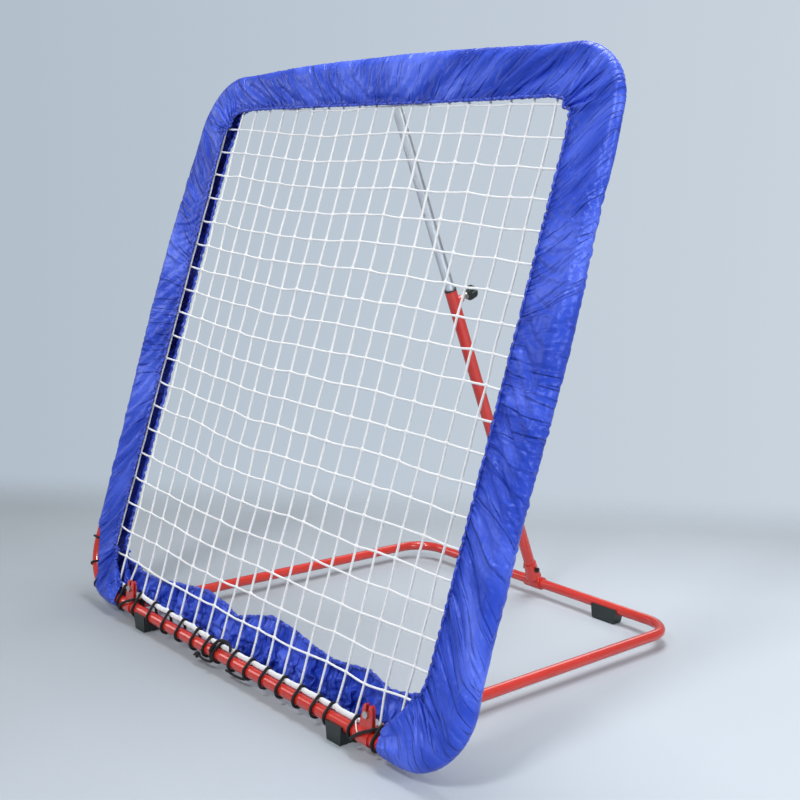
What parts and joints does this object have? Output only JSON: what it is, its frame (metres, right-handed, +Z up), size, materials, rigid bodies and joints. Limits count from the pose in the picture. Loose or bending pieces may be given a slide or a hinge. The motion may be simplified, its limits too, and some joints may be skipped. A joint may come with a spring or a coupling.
{
  "type": "pitch back rebounder",
  "caption": "Laced ball net in a square tube frame with a padded sleeve, tilting on a flat U-shaped base with a telescopic rear strut.",
  "frame": {"origin": "middle of the footprint, on the ground under the feet", "axes": "+X across to the right as the thrower faces the net's back, +Y back from the net to the rear bar, +Z up"},
  "size_m": [1.04, 0.7629, 1.0068],
  "materials": {
    "red_powder_coat": "glossy red powder coat on steel tube",
    "zinc_tube": "bright zinc-plated steel tube",
    "zinc_fastener": "zinc-plated steel fasteners",
    "dark_fastener": "blackened steel bolt",
    "white_net": "white braided polyester cord",
    "black_cord": "black elastic cord",
    "blue_nylon": "shiny royal blue coated nylon, finely wrinkled",
    "black_plastic": "black moulded plastic"
  },
  "bodies": {
    "base": {"base_tube": "red_powder_coat", "hinge_collar_left": "red_powder_coat", "hinge_collar_right": "red_powder_coat", "hinge_bolts": "zinc_fastener", "hinge_nuts": "zinc_fastener", "front_foot_left": "black_plastic", "front_foot_right": "black_plastic", "rear_foot_left": "black_plastic", "rear_foot_right": "black_plastic", "rear_foot_screws": "zinc_fastener"},
    "frame": {"upper_hoop": "red_powder_coat", "lower_hoop": "red_powder_coat", "hoop_joint_screws": "zinc_fastener", "net": "white_net", "net_edge_rope": "white_net", "lacing_cord": "black_cord", "frame_cover": "blue_nylon", "cover_bottom_flap": "blue_nylon", "top_bracket": "red_powder_coat", "top_pivot_bolt": "zinc_fastener", "top_pivot_nut": "zinc_fastener"},
    "strut_lower": {"strut_foot_collar": "red_powder_coat", "strut_foot_bolt": "dark_fastener", "strut_foot_nut": "dark_fastener", "strut_outer_tube": "red_powder_coat", "strut_bush": "black_plastic", "clamp_boss": "red_powder_coat"},
    "strut_upper": {"strut_inner_tube": "zinc_tube"},
    "clamp": {"clamp_screw": "zinc_fastener", "clamp_knob": "black_plastic"}
  },
  "joints": [
    {"name": "frame_tilt", "type": "hinge", "parent": "base", "child": "frame", "pos_m": [0, -0.3615, 0.028], "axis": [-1, 0, 0], "range_deg": [-3, 14]},
    {"name": "strut_swing", "type": "hinge", "parent": "base", "child": "strut_lower", "pos_m": [0, 0.3685, 0.028], "axis": [-1, 0, 0], "range_deg": [-2.25, 10.3]},
    {"name": "strut_slide", "type": "slide", "parent": "strut_lower", "child": "strut_upper", "axis": [0, -0.4218, 0.9067], "range_m": [-0.168, 0.037]},
    {"name": "clamp_turn", "type": "hinge", "parent": "strut_lower", "child": "clamp", "pos_m": [0, 0.10278, 0.59922], "axis": [0, 0.9067, 0.4218], "range_deg": [0, 360]}
  ],
  "couplings": [
    {"joint": "strut_swing", "follows": "frame_tilt", "ratio": 0.73},
    {"joint": "strut_slide", "follows": "frame_tilt", "m_per_rad": -0.682}
  ]
}
